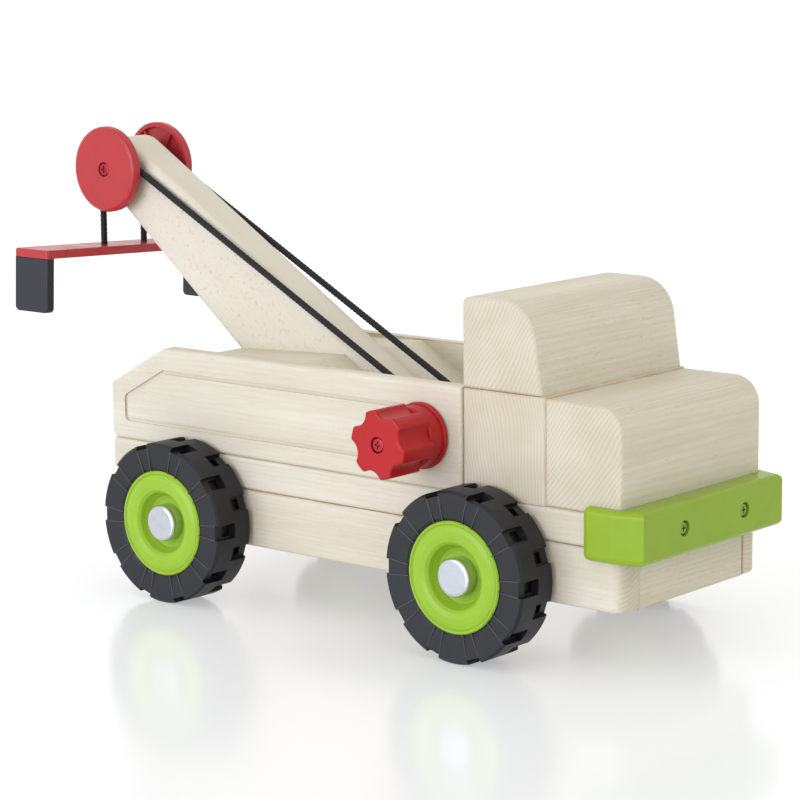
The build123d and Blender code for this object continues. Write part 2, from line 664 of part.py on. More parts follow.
def bar_foot(side):
    reach = BAR_WIDTH / 2 - 0.3
    y0, y1 = -BAR_LENGTH / 2 + 0.2, -BAR_LENGTH / 2 + FOOT_THICKNESS
    foot = block(DROP_X - reach, DROP_X + reach, y0, y1, FOOT_BOTTOM, BAR_TOP - BAR_THICKNESS)
    low = [e for e in foot.edges().filter_by(Axis.Y) if e.center().Z < FOOT_BOTTOM + 1]
    foot = fillet(low, FOOT_ROUND)
    foot = fillet(foot.faces().sort_by(Axis.Y)[0].edges(), 0.9)
    return tilted(for_side(foot - bar_leg(), side))


# ---- write every piece ------------------------------------------------------------------------------
def main():
    os.makedirs("parts", exist_ok=True)
    for name, side in SIDES.items():
        save(f"chassis_rail_{name}", chassis_rail(side))
        save(f"side_panel_{name}", side_panel(side))
        save(f"bed_block_{name}", bed_block(side))
        save(f"winch_knob_{name}", winch_knob(side))
        save(f"winch_coil_{name}", winch_coil(side))
        save(f"pulley_{name}", pulley(side))
        save(f"hoist_run_{name}", hoist_run(side))
        save(f"hoist_drop_{name}", hoist_drop(side))
        save(f"bar_foot_{name}", bar_foot(side))
        for place, x in (("front", FRONT_AXLE), ("rear", REAR_AXLE)):
            save(f"wheel_hub_{place}_{name}", wheel_hub(x, side))
            save(f"tyre_{place}_{name}", tyre(x, side))
    save("chassis_front_block", cross_block(FRONT_BLOCK, BODY_LENGTH - 0.2, FRONT_AXLE))
    save("chassis_rear_block", cross_block(*REAR_BLOCK, REAR_AXLE))
    save("deck_board", deck_board())
    save("boom", boom())
    save("boom_dowels", *boom_dowels())
    save("cab_rear_block", cab_rear_block())
    save("hood_block", hood_block())
    save("cab_roof_block", cab_roof_block())
    save("cab_dowels", *cab_dowels())
    save("bumper", bumper())
    save("bumper_screws", *bumper_screws())
    save("front_axle", axle(FRONT_AXLE))
    save("rear_axle", axle(REAR_AXLE))
    save("axle_caps", *[axle_cap(x, s) for x in (FRONT_AXLE, REAR_AXLE) for s in (-1, 1)])
    save("winch_shaft", winch_shaft())
    save("knob_screws", *knob_screws())
    save("pulley_screws", *pulley_screws())
    save("lifting_bar", lifting_bar())
    save("hoist_knots", *[hoist_knot(s) for s in (-1, 1)])


main()
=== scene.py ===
"""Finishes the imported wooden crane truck: timber, plastics, tyres, braided cords and a plain studio."""
import math

import bmesh
import bpy
from mathutils import Matrix, Vector


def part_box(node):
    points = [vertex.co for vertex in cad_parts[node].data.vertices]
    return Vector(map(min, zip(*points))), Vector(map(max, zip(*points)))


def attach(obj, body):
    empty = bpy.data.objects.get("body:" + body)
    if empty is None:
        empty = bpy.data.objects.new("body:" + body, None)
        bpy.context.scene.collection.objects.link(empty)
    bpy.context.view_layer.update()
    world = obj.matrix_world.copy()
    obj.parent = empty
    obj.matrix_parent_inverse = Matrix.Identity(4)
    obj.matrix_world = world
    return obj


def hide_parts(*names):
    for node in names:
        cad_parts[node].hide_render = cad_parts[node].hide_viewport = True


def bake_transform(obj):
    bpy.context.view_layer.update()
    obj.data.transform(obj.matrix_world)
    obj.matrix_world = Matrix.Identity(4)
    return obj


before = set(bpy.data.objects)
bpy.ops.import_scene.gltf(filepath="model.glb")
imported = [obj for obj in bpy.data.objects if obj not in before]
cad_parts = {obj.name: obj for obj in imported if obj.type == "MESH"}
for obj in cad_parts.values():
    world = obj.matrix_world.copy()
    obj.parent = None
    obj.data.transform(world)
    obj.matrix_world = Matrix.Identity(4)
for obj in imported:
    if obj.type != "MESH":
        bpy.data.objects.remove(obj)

bl_info = {
    "name": "Toy crane truck",
    "version": (1, 0, 0),
    "blender": (4, 5, 0),
    "location": "View3D > Sidebar > Truck",
    "description": "Timber, plastics, tyres and cords of a wooden toy truck with a winch crane",
    "category": "Object",
}

MM = 0.001
SIDES = {"right": -1, "left": 1}
AXLES = ("front", "rear")

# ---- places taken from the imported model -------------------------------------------


def middle_of(node):
    """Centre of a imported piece's box."""
    low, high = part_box(node)
    return (low + high) / 2


def reach_of(node):
    """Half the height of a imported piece's box, the radius of a round one."""
    low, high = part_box(node)
    return (high.z - low.z) / 2


WINCH = middle_of("winch_shaft")
SHAFT_RADIUS = reach_of("winch_shaft")
PULLEY = middle_of("pulley_right")
BOOM_GRAIN = -math.radians(34)  # the grain runs down the boom
CORD_PLACE = middle_of("hoist_drop_left").y
DROP_PLACE = middle_of("hoist_drop_left").x

# One cord's route in (x, z): winch shaft, boom's lower edge, pulley, then down to the bar.
CORD_ROUTE = (
    (0.0897, 0.1369),
    (0.0936, 0.1363),
    (0.0994, 0.1312),
    (0.1015, 0.1237),
    (0.0990, 0.1163),
    (0.0930, 0.1114),
    (0.0852, 0.1107),
    (0.0623, 0.1230),
    (-0.1935, 0.2597),
    (-0.2164, 0.2720),
    (-0.2222, 0.2718),
    (-0.2271, 0.2688),
    (-0.2300, 0.2638),
    (-0.2300, 0.2609),
    (-0.2300, 0.2350),
)


# ---- settings ----------------------------------------------------------------------
def colour(name, description, default):
    """A colour setting, in linear red, green and blue."""
    return bpy.props.FloatVectorProperty(
        name=name, description=description, default=default, size=3, subtype="COLOR", min=0.0, max=2.0
    )


def length(name, description, default):
    """A length setting in metres."""
    return bpy.props.FloatProperty(
        name=name, description=description, default=default, unit="LENGTH", min=0.0
    )


class TruckColours(bpy.types.PropertyGroup):
    """Colours of the finishes."""

    pale_wood: colour("Pale wood", "Lightest tone of the beech", (0.690, 0.645, 0.520))
    warm_wood: colour("Warm wood", "Darker tone of the beech", (0.540, 0.480, 0.340))
    late_wood: colour("Late wood", "Thin dark line that ends each year's ring", (0.430, 0.330, 0.200))
    # Edge tint: a patchy orange-brown band along the edges of each wooden piece.
    edge_tint: colour("Scorch", "Orange-brown left by the saw along the edges", (0.460, 0.270, 0.130))
    fleck: colour("Flecks", "Short brown dashes in the beech", (0.300, 0.175, 0.090))
    speck: colour("Specks", "Rays cut across, on the sides of the boom", (0.440, 0.300, 0.190))
    red: colour("Red", "Knobs", (0.425, 0.008, 0.010))
    # Light red: the knob red made lighter and paler, a painted sheen on the pulleys and the lifting bar.
    red_with_painted_sheen: colour("Light red", "Pulleys and lifting bar", (0.445, 0.034, 0.038))
    green: colour("Green", "Bumper", (0.250, 0.385, 0.012))
    light_green: colour("Light green", "Wheel hubs", (0.285, 0.470, 0.026))
    tyre: colour("Tyre", "Tyre rubber", (0.0040, 0.0042, 0.0062))
    # Ridge colour: glossier rubber, painted far lighter than the tyre as a highlight along the ridges.
    ridge: colour("Ridge", "Polished ridges on the sides of the tyres", (0.050, 0.052, 0.058))
    foot: colour("Foot", "Rubber feet of the lifting bar", (0.012, 0.011, 0.020))
    cord: colour("Cord", "Braided cord", (0.0035, 0.0035, 0.0045))
    steel: colour("Steel", "Axles", (0.46, 0.46, 0.47))
    # The screws are steel. Their red and green tints are a painted reflection of the red pieces and the
    # bumper around them.
    screw_red_reflection: colour("Red screw", "Lacquered screws in the red pieces", (0.40, 0.040, 0.045))
    screw_green_reflection: colour("Green screw", "Lacquered screws in the bumper", (0.24, 0.32, 0.08))
    chrome: colour("Chrome", "Hub caps", (0.60, 0.63, 0.67))
    floor: colour("Floor", "Studio floor", (0.52, 0.52, 0.52))


class TruckSizes(bpy.types.PropertyGroup):
    """Sizes of the pieces made here."""

    cord_width: length("Cord width", "Diameter of the braided cord", 4.5 * MM)
    braid_step: length("Braid step", "Length of one diamond of the braid", 3.0 * MM)
    braid_depth: length("Braid depth", "Height of a strand over the gaps", 0.50 * MM)
    coil_turns: bpy.props.IntProperty(name="Coil turns", description="Turns on the shaft", default=3, min=1)
    ring_width: length("Ring width", "Width of one year's growth in the timber", 2.5 * MM)
    # Edge width: width of the patchy orange-brown band along the edges of the timber.
    edge_width: length("Edge width", "Width of the scorched edges of the timber", 1.6 * MM)


class TruckStage(bpy.types.PropertyGroup):
    """Camera, lights and floor."""

    eye: bpy.props.FloatVectorProperty(
        name="Eye",
        description="Camera place",
        default=(1.10338, -1.29441, 0.42431),
        size=3,
        unit="LENGTH",
    )
    heading: bpy.props.FloatProperty(
        name="Heading", description="Way the camera looks, from +X", default=2.271369, unit="ROTATION"
    )
    pitch: bpy.props.FloatProperty(
        name="Pitch", description="Camera's tilt above the level", default=-0.173842, unit="ROTATION"
    )
    roll: bpy.props.FloatProperty(
        name="Roll",
        description="Camera's turn about its own line of sight",
        default=-0.008741,
        unit="ROTATION",
    )
    lens: bpy.props.FloatProperty(name="Lens", description="Focal length in millimetres", default=124.055)
    sky: bpy.props.FloatProperty(name="Sky", description="Strength of the even light", default=1.0)
    key: bpy.props.FloatProperty(name="Key", description="Power of the main light, in watts", default=51.0)
    key_place: bpy.props.FloatVectorProperty(
        name="Key place",
        description="Place of the main light",
        default=(-0.5, -3.0, 0.6),
        size=3,
        unit="LENGTH",
    )
    key_size: bpy.props.FloatVectorProperty(
        name="Key size", description="Width and height of the main soft light", default=(2.4, 1.8), size=2
    )
    key_tint: colour("Key tint", "Colour of the main soft light", (0.94, 1.01, 1.26))
    floor_size: length("Floor size", "Half the side of the floor", 30.0)
    glow: bpy.props.FloatProperty(name="Glow", description="Light given off by the floor", default=0.385)


def settings():
    scene = bpy.context.scene
    return scene.truck_colours, scene.truck_sizes, scene.truck_stage


# ---- shader maths --------------------------------------------------------------------
class Value:
    """One shader value. Python's operators on it add Math nodes."""

    def __init__(self, finish, socket):
        self.finish = finish
        self.socket = socket

    def math(self, operation, *terms):
        return self.finish.node("ShaderNodeMath", {"operation": operation}, dict(enumerate(terms)))

    def __add__(self, other):
        return self.math("ADD", self, other)

    __radd__ = __add__

    def __sub__(self, other):
        return self.math("SUBTRACT", self, other)

    def __rsub__(self, other):
        return self.math("SUBTRACT", other, self)

    def __mul__(self, other):
        return self.math("MULTIPLY", self, other)

    __rmul__ = __mul__

    def __truediv__(self, other):
        return self.math("DIVIDE", self, other)

    def __pow__(self, other):
        return self.math("POWER", self, other)

    def __abs__(self):
        return self.math("ABSOLUTE", self)

    def between(self, low, high, start=0.0, end=1.0):
        """Smooth step from start, at low, to end, at high."""
        inputs = {0: self, 1: low, 2: high, 3: start, 4: end}
        return self.finish.node("ShaderNodeMapRange", {"interpolation_type": "SMOOTHSTEP"}, inputs)


class Finish:
    """A material in the making. Every node comes from node()."""

    def __init__(self, name, **uniform):
        self.material = bpy.data.materials.new(name)
        self.material.use_nodes = True
        self.tree = self.material.node_tree
        self.shader = self.tree.nodes["Principled BSDF"]
        self.feed(self.shader, {key.replace("_", " "): value for key, value in uniform.items()})

    def feed(self, made, inputs):
        for key, value in inputs.items():
            if isinstance(value, Value):
                self.tree.links.new(value.socket, made.inputs[key])
            else:
                made.inputs[key].default_value = value

    def node(self, kind, options=None, inputs=None, output=0):
        made = self.tree.nodes.new(kind)
        for key, value in (options or {}).items():
            setattr(made, key, value)
        self.feed(made, inputs or {})
        return Value(self, made.outputs[output])

    def surface(self, **inputs):
        self.feed(self.shader, {key.replace("_", " "): value for key, value in inputs.items()})
        return self.material

    def place(self):
        return self.node("ShaderNodeTexCoord", output="Object")

    def mapped(self, vector, shift=(0, 0, 0), turn=(0, 0, 0), scale=(1, 1, 1)):
        return self.node("ShaderNodeMapping", {}, {0: vector, 1: shift, 2: turn, 3: scale})

    def parts(self, vector):
        made = self.tree.nodes.new("ShaderNodeSeparateXYZ")
        self.feed(made, {0: vector})
        return [Value(self, made.outputs[i]) for i in range(3)]

    def noise(self, vector, scale=1.0, detail=2.0, roughness=0.5):
        inputs = {"Vector": vector, "Scale": scale, "Detail": detail, "Roughness": roughness}
        return self.node("ShaderNodeTexNoise", {}, inputs)

    def mix(self, factor, first, second):
        """Colour between two, each a colour or a value."""
        pair = [value if isinstance(value, Value) else (*value, 1.0) for value in (first, second)]
        inputs = {0: factor, 6: pair[0], 7: pair[1]}
        return self.node("ShaderNodeMix", {"data_type": "RGBA"}, inputs, output=2)

    def bump(self, height, depth, strength=1.0):
        inputs = {"Strength": strength, "Distance": depth, "Height": height}
        return self.node("ShaderNodeBump", {}, inputs)


# ---- finishes ----------------------------------------------------------------------------
GRAIN_TURN = {"X": (0.0, 0.0, 0.0), "Y": (0.0, 0.0, math.pi / 2), "Z": (0.0, math.pi / 2, 0.0)}


def beech(node, turn, heart, rings, flecks, specks=0.0, depth=1.0):
    """Sanded beech: rings round a heart line, pale streaks, brown flecks and a patchy orange-brown band
    along the edges.

    turn brings the grain's direction to X, and heart is the heart line's place across the grain.
    """
    colours, sizes, _ = settings()
    finish = Finish(f"{node}_beech", IOR=1.45)
    place = finish.place()
    lie = finish.mapped(place, turn=turn)
    _, across, up = finish.parts(lie)
    sway = finish.noise(finish.mapped(lie, scale=(4, 24, 24)), detail=1.0) - 0.5
    apart, above = across - heart[0], up - heart[1]
    radius = (apart * apart + above * above) ** 0.5 + sway * 0.012
    pace = finish.noise(finish.mapped(lie, scale=(3, 40, 40)), detail=1.0)
    years = radius / sizes.ring_width + pace
    ring = years.math("FRACT", years)
    late = ring.between(0.25, 0.9) * ring.between(1.0, 0.9)
    streak = finish.noise(finish.mapped(lie, scale=(24, 560, 560)), detail=3.0, roughness=0.6)
    tone = finish.noise(finish.mapped(lie, scale=(5, 30, 30)), detail=2.0)
    dash = finish.noise(finish.mapped(lie, scale=(200, 1300, 1300)), detail=1.0).between(0.64, 0.76)
    pore = finish.noise(finish.mapped(lie, scale=(90, 2600, 2600)), detail=0.0).between(0.58, 0.75)
    facing = finish.mapped(finish.node("ShaderNodeTexCoord", output="Normal"), turn=turn)
    end = abs(finish.parts(facing)[0]).between(0.55, 0.85)
    fine = streak.between(0.3, 0.7) * (0.26 - end * 0.26)
    mellow = tone.between(0.3, 0.7) * 0.42 + fine + end * 0.38
    wood = finish.mix(mellow * depth, colours.pale_wood, colours.warm_wood)
    wood = finish.mix(late * (rings + end * 0.26), wood, colours.late_wood)
    wood = finish.mix(dash * flecks * (1.0 - end * 0.7), wood, colours.fleck)
    wood = finish.mix(pore * 0.06, wood, colours.fleck)
    if specks:
        spot = finish.noise(place, scale=330.0, detail=1.0).between(0.60, 0.72)
        side = abs(finish.parts(facing)[1]).between(0.6, 0.9)
        wood = finish.mix(spot * side * specks, wood, colours.speck)
    low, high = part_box(node)
    width, rims = sizes.edge_width, -1.0
    for value, least, most in zip(finish.parts(place), low, high):
        rims = value.between(least + width, least) + value.between(most - width, most) + rims
    # A patchy orange-brown band along the edges of the piece's box.
    patch = finish.noise(place, scale=45.0, detail=2.0).between(0.30, 0.62)
    wood = finish.mix(rims.between(0.0, 0.8) * patch * 0.5, wood, colours.edge_tint)
    height = streak * 0.5 - dash * 0.6 - pore * 0.3 - late * 0.2
    return finish.surface(
        Base_Color=wood,
        Roughness=streak.between(0.2, 0.8, 0.46, 0.60),
        Normal=finish.bump(height, 0.00012, 0.5),
    )


def moulded(name, shade, roughness=0.3, grain=0.00003):
    """Moulded plastic: a faint orange-peel skin and small clouds in its gloss."""
    finish = Finish(name, IOR=1.37)
    place = finish.place()
    skin = finish.noise(place, scale=900.0, detail=2.0)
    cloud = finish.noise(place, scale=55.0, detail=3.0)
    deep = tuple(value * 0.955 for value in shade)
    return finish.surface(
        Base_Color=finish.mix(cloud.between(0.35, 0.7), shade, deep),
        Roughness=cloud.between(0.3, 0.7, roughness - 0.04, roughness + 0.07),
        Normal=finish.bump(skin, grain, 0.6),
    )


def rubber(name, shade, dust=0.03, roughness=0.42):
    """Moulded rubber: matt, with a fine grain and a breath of pale dust."""
    finish = Finish(name, IOR=1.46)
    place = finish.place()
    grain = finish.noise(place, scale=1800.0, detail=3.0, roughness=0.7)
    cloud = finish.noise(place, scale=70.0, detail=4.0, roughness=0.6)
    dusty = tuple(value + dust * 0.12 for value in shade)
    return finish.surface(
        Base_Color=finish.mix(cloud.between(0.35, 0.75), shade, dusty),
        Roughness=cloud.between(0.3, 0.7, roughness, roughness + 0.12),
        Normal=finish.bump(grain, 0.00008, 0.5),
    )


def metal(name, shade, roughness, scratch):
    """Turned or plated metal: fine scratches in its gloss."""
    finish = Finish(name, Metallic=1.0)
    place = finish.place()
    lines = finish.noise(finish.mapped(place, scale=(2400, 300, 2400)), detail=2.0)
    smear = finish.noise(place, scale=160.0, detail=3.0)
    dull = tuple(value * 0.88 for value in shade)
    return finish.surface(
        Base_Color=finish.mix(smear.between(0.35, 0.75), shade, dull),
        Roughness=smear.between(0.3, 0.7, roughness, roughness + 0.08),
        Normal=finish.bump(lines, scratch, 0.4),
    )


def braid(name, shade):
    """Cord fibres: fine slanting threads on the strands that the mesh already has."""
    finish = Finish(name, IOR=1.4, Sheen_Weight=0.05, Sheen_Roughness=0.4)
    place = finish.place()
    threads = finish.noise(finish.mapped(place, turn=(0.0, 0.6, 0.0), scale=(900, 4200, 4200)), detail=2.0)
    worn = tuple(value + 0.016 for value in shade)
    return finish.surface(
        Base_Color=finish.mix(threads.between(0.4, 0.8), shade, worn),
        Roughness=threads.between(0.3, 0.7, 0.55, 0.75),
        Normal=finish.bump(threads, 0.0001, 0.7),
    )


# ---- making pieces ---------------------------------------------------------------------------
def put_on(node, material):
    """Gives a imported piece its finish."""
    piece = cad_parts[node]
    for place in piece.material_slots:
        place.link = "OBJECT"
        place.material = material


def new_piece(name, mesh, body, material, nodes=(), ends=None):
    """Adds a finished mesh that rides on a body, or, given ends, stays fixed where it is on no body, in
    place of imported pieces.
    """
    piece = bpy.data.objects.new(name, mesh)
    bpy.context.scene.collection.objects.link(piece)
    mesh.materials.append(material)
    if ends:
        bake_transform(piece)
    else:
        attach(piece, body)
    if nodes:
        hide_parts(*nodes)
    return piece


def mesh_from(shape, name, sharp=math.radians(35)):
    """Mesh of a bmesh, shaded smooth except over edges sharper than the angle."""
    for face in shape.faces:
        face.smooth = True
    for edge in shape.edges:
        edge.smooth = len(edge.link_faces) == 2 and edge.calc_face_angle(0.0) < sharp
    mesh = bpy.data.meshes.new(name)
    shape.to_mesh(mesh)
    shape.free()
    return mesh


# ---- cords -----------------------------------------------------------------------------------------
def route_points(name, route):
    """Points along the smooth spline whose control points are the route's."""
    curve = bpy.data.curves.new(name, "CURVE")
    curve.dimensions = "3D"
    curve.resolution_u = 24
    spline = curve.splines.new("NURBS")
    spline.points.add(len(route) - 1)
    for point, place in zip(spline.points, route):
        point.co = (*place, 1.0)
    spline.order_u = 3
    spline.use_endpoint_u = True
    holder = bpy.data.objects.new(name, curve)
    bpy.context.scene.collection.objects.link(holder)
    line = bpy.data.meshes.new_from_object(holder)
    points = [vertex.co.copy() for vertex in line.vertices]
    bpy.data.objects.remove(holder)
    bpy.data.meshes.remove(line)
    bpy.data.curves.remove(curve)
    return points


def evenly(points, step):
    """The same line with its points a step apart."""
    spaced = [points[0]]
    left = step
    for first, second in zip(points, points[1:]):
        gap = (second - first).length
        while gap > 1e-9 and left <= gap:
            spaced.append(first.lerp(second, left / gap))
            left += step
        left -= gap
    spaced.append(points[-1])
    return spaced


AROUND = 32                    # points round a cord
STRANDS = 4                    # that run each way round it
STEPS_PER_DIAMOND = 6
POINTS_PER_TURN = 48           # of the cord on the shaft
LAST_TURN_GAP = 0.15
KNOT_POINTS = 96
KNOT_SPREAD = (1.35 * MM, 0.75 * MM)
KNOT_HEIGHT = 0.5 * MM


def braided_tube(name, line, width, start_side):
    """Round braid along a line: strands cross over each other, four each way."""
    sizes = settings()[1]
    spaced = evenly(line, sizes.braid_step / STEPS_PER_DIAMOND)
    shape = bmesh.new()
    side = Vector(start_side)
    rings = []
    for number, point in enumerate(spaced):
        ahead = spaced[min(number + 1, len(spaced) - 1)]
        behind = spaced[max(number - 1, 0)]
        way = (ahead - behind).normalized()
        side = (side - way * side.dot(way)).normalized()
        other = way.cross(side)
        along = 2 * math.pi * number / STEPS_PER_DIAMOND
        ring = []
        for place in range(AROUND):
            angle = 2 * math.pi * place / AROUND
            lift = math.cos(STRANDS * angle + along / 2) * math.cos(STRANDS * angle - along / 2)
            radius = width / 2 - sizes.braid_depth * (0.5 - 0.5 * lift)
            out = side * math.cos(angle) + other * math.sin(angle)
            ring.append(shape.verts.new(point + out * radius))
        rings.append(ring)
    for first, second in zip(rings, rings[1:]):
        for place in range(AROUND):
            after = (place + 1) % AROUND
            shape.faces.new((first[place], first[after], second[after], second[place]))
    shape.faces.new(list(reversed(rings[0])))
    shape.faces.new(rings[-1])
    bmesh.ops.recalc_face_normals(shape, faces=shape.faces)
    return mesh_from(shape, name, sharp=math.radians(80))


class TRUCK_OT_camera(bpy.types.Operator):
    """Camera at the object's usual three-quarter view"""

    bl_idname = "truck.camera"
    bl_label = "Camera"

    def execute(self, context):
        stage = settings()[2]
        level = math.cos(stage.pitch)
        ahead = Vector((math.cos(stage.heading) * level, math.sin(stage.heading) * level, 0.0))
        ahead.z = math.sin(stage.pitch)
        right = Vector((math.sin(stage.heading), -math.cos(stage.heading), 0.0))
        up = right.cross(ahead)
        turned = right * math.cos(stage.roll) + up * math.sin(stage.roll)
        upright = up * math.cos(stage.roll) - right * math.sin(stage.roll)
        lens = bpy.data.cameras.new("camera")
        lens.lens = stage.lens
        lens.sensor_width = 36.0
        lens.clip_end = 100.0
        camera = bpy.data.objects.new("camera", lens)
        place = Matrix((turned, upright, -ahead)).transposed().to_4x4()
        place.translation = Vector(stage.eye)
        camera.matrix_world = place
        context.scene.collection.objects.link(camera)
        context.scene.camera = camera
        return {"FINISHED"}


class TRUCK_OT_cords(bpy.types.Operator):
    """Two braided cords from the winch shaft to the lifting bar, and their turns on the shaft"""

    bl_idname = "truck.cords"
    bl_label = "Cords"

    def execute(self, context):
        colours, sizes, _ = settings()
        finish = braid("black_braid", colours.cord)
        for name, side in SIDES.items():
            y = side * CORD_PLACE
            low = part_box(f"hoist_drop_{name}")[0].z - 0.5 * MM
            route = [(x, y, z) for x, z in CORD_ROUTE] + [(DROP_PLACE, y, low)]
            line = route_points(f"cord_{name}_route", route)
            mesh = braided_tube(f"cord_{name}", line, sizes.cord_width, (0, 1, 0))
            top = Vector((DROP_PLACE, y, PULLEY.z))
            half = (top.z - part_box("lifting_bar")[1].z) / 2
            ends = ("hoist", top, top - Vector((half, 0.0, half)))
            nodes = [f"hoist_run_{name}", f"hoist_drop_{name}"]
            piece = new_piece(f"cord_{name}", mesh, "truck", finish, nodes, ends)
            self.wind(name, side, finish)
        self.knots(finish)
        return {"FINISHED"}

    def wind(self, name, side, finish):
        """The turns on the winch shaft, side by side."""
        sizes = settings()[1]
        low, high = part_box(f"winch_coil_{name}")
        inner = low.y if side > 0 else high.y
        radius = SHAFT_RADIUS + sizes.cord_width / 2
        turns = sizes.coil_turns - LAST_TURN_GAP
        line = []
        for number in range(int(POINTS_PER_TURN * turns) + 1):
            share = number / POINTS_PER_TURN
            reach = sizes.cord_width / 2 + share * (high.y - low.y - sizes.cord_width) / turns
            y = inner + side * reach
            angle = 2 * math.pi * share
            x = WINCH.x + radius * math.cos(angle)
            line.append(Vector((x, y, WINCH.z + radius * math.sin(angle))))
        mesh = braided_tube(f"coil_{name}", line, sizes.cord_width, (1, 0, 0))
        new_piece(f"coil_{name}", mesh, "winch", finish, [f"winch_coil_{name}"])

    def knots(self, finish):
        """A pulled-tight overhand knot under the bar on each cord."""
        sizes = settings()[1]
        low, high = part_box("hoist_knots")
        for name, side in SIDES.items():
            centre = Vector((DROP_PLACE, side * CORD_PLACE, (low.z + high.z) / 2))
            line = []
            for number in range(KNOT_POINTS + 1):
                turn = 2 * math.pi * number / KNOT_POINTS
                spread = KNOT_SPREAD[0] + KNOT_SPREAD[1] * math.cos(1.5 * turn)
                lift = KNOT_HEIGHT * math.sin(1.5 * turn)
                line.append(centre + Vector((spread * math.cos(turn), spread * math.sin(turn), lift)))
            mesh = braided_tube(f"knot_{name}", line, sizes.cord_width / 2, (0, 0, 1))
            new_piece(f"knot_{name}", mesh, "hoist", finish, ["hoist_knots"])


class TRUCK_OT_timber(bpy.types.Operator):
    """Beech finish of every wooden piece, each with its own grain"""

    bl_idname = "truck.timber"
    bl_label = "Timber"

    def execute(self, context):
        # each piece's grain axis, heart line, strength of its rings and strength of its flecks
        grains = {
            "chassis_rail_right": ("X", (0.06, -0.25), 0.08, 0.22),
            "chassis_rail_left": ("X", (-0.03, -0.25), 0.08, 0.22),
            "chassis_front_block": ("Y", (0.02, -0.30), 0.11, 0.30),
            "chassis_rear_block": ("Y", (0.05, -0.30), 0.08, 0.30),
            "deck_board": ("X", (0.02, -0.16), 0.08, 0.20),
            "side_panel_right": ("X", (-0.25, 0.30), 0.06, 0.18),
            "side_panel_left": ("X", (0.14, 0.25), 0.08, 0.20),
            "bed_block_right": ("X", (-0.01, -0.12), 0.08, 0.25),
            "bed_block_left": ("X", (0.12, 0.30), 0.08, 0.25),
            "cab_rear_block": ("Y", (-0.33, 0.07), 0.10, 0.20),
            "hood_block": ("Y", (-0.11, 0.33), 0.12, 0.24),
            "cab_roof_block": ("Y", (-0.17, 0.36), 0.12, 0.24),
            "winch_shaft": ("Y", (-0.085, 0.115), 0.10, 0.20),
            "boom_dowels": ("Y", (0.02, 0.10), 0.10, 0.20),
            "cab_dowels": ("Z", (-0.08, 0.02), 0.10, 0.20),
        }
        for node, (grain, heart, rings, flecks) in grains.items():
            put_on(node, beech(node, GRAIN_TURN[grain], heart, rings, flecks))
        turn = (0.0, BOOM_GRAIN, 0.0)
        put_on("boom", beech("boom", turn, (0.30, 0.10), rings=0.05, flecks=0.10, specks=0.40, depth=0.3))
        return {"FINISHED"}


class TRUCK_OT_plastics(bpy.types.Operator):
    """Red and green moulded pieces and the rubber feet"""

    bl_idname = "truck.plastics"
    bl_label = "Plastics"

    def execute(self, context):
        colours = settings()[0]
        knob = moulded("knob_plastic", colours.red, roughness=0.36)
        # The pulleys and the lifting bar take the lighter red with its painted sheen.
        pulley = moulded("pulley_plastic", colours.red_with_painted_sheen, roughness=0.26)
        hub = moulded("hub_plastic", colours.light_green, roughness=0.30)
        foot = rubber("foot_rubber", colours.foot)
        for name in SIDES:
            put_on(f"winch_knob_{name}", knob)
            put_on(f"pulley_{name}", pulley)
            put_on(f"bar_foot_{name}", foot)
            for place in AXLES:
                put_on(f"wheel_hub_{place}_{name}", hub)
        put_on("lifting_bar", pulley)
        put_on("bumper", moulded("bumper_plastic", colours.green, roughness=0.20))
        return {"FINISHED"}


class TRUCK_OT_metals(bpy.types.Operator):
    """Chromed hub caps, axles and cross-head screws, the screws tinted by a painted reflection of the
    pieces round them
    """

    bl_idname = "truck.metals"
    bl_label = "Metals"

    def execute(self, context):
        colours = settings()[0]
        chrome = metal("cap_chrome", colours.chrome, roughness=0.16, scratch=0.004 * MM)
        steel = metal("drawn_steel", colours.steel, roughness=0.28, scratch=0.01 * MM)
        # Steel tinted red and green, a painted reflection of the pieces round the screws.
        red = metal("steel_painted_red_reflection", colours.screw_red_reflection, roughness=0.30, scratch=0.01 * MM)
        green = metal("steel_painted_green_reflection", colours.screw_green_reflection, roughness=0.30, scratch=0.01 * MM)
        put_on("axle_caps", chrome)
        put_on("bumper_screws", green)
        for node in ("front_axle", "rear_axle"):
            put_on(node, steel)
        for node in ("knob_screws", "pulley_screws"):
            put_on(node, red)
        return {"FINISHED"}


LUGS = 10                      # lugs on each side of a tyre
LUG_GAP = 9.4 * MM             # gap between two of them, along the tread
RIM_RADIUS = 33.2 * MM
NOTCH_RADIUS = 47.6 * MM
RIDGE_WIDTH = 0.55 * MM
RIDGE_HEIGHT = 0.9 * MM
RIDGE_EDGE = 0.16 * MM
RIDGE_SINK = 0.42 * MM         # from the tyre's face to the middle of a ridge


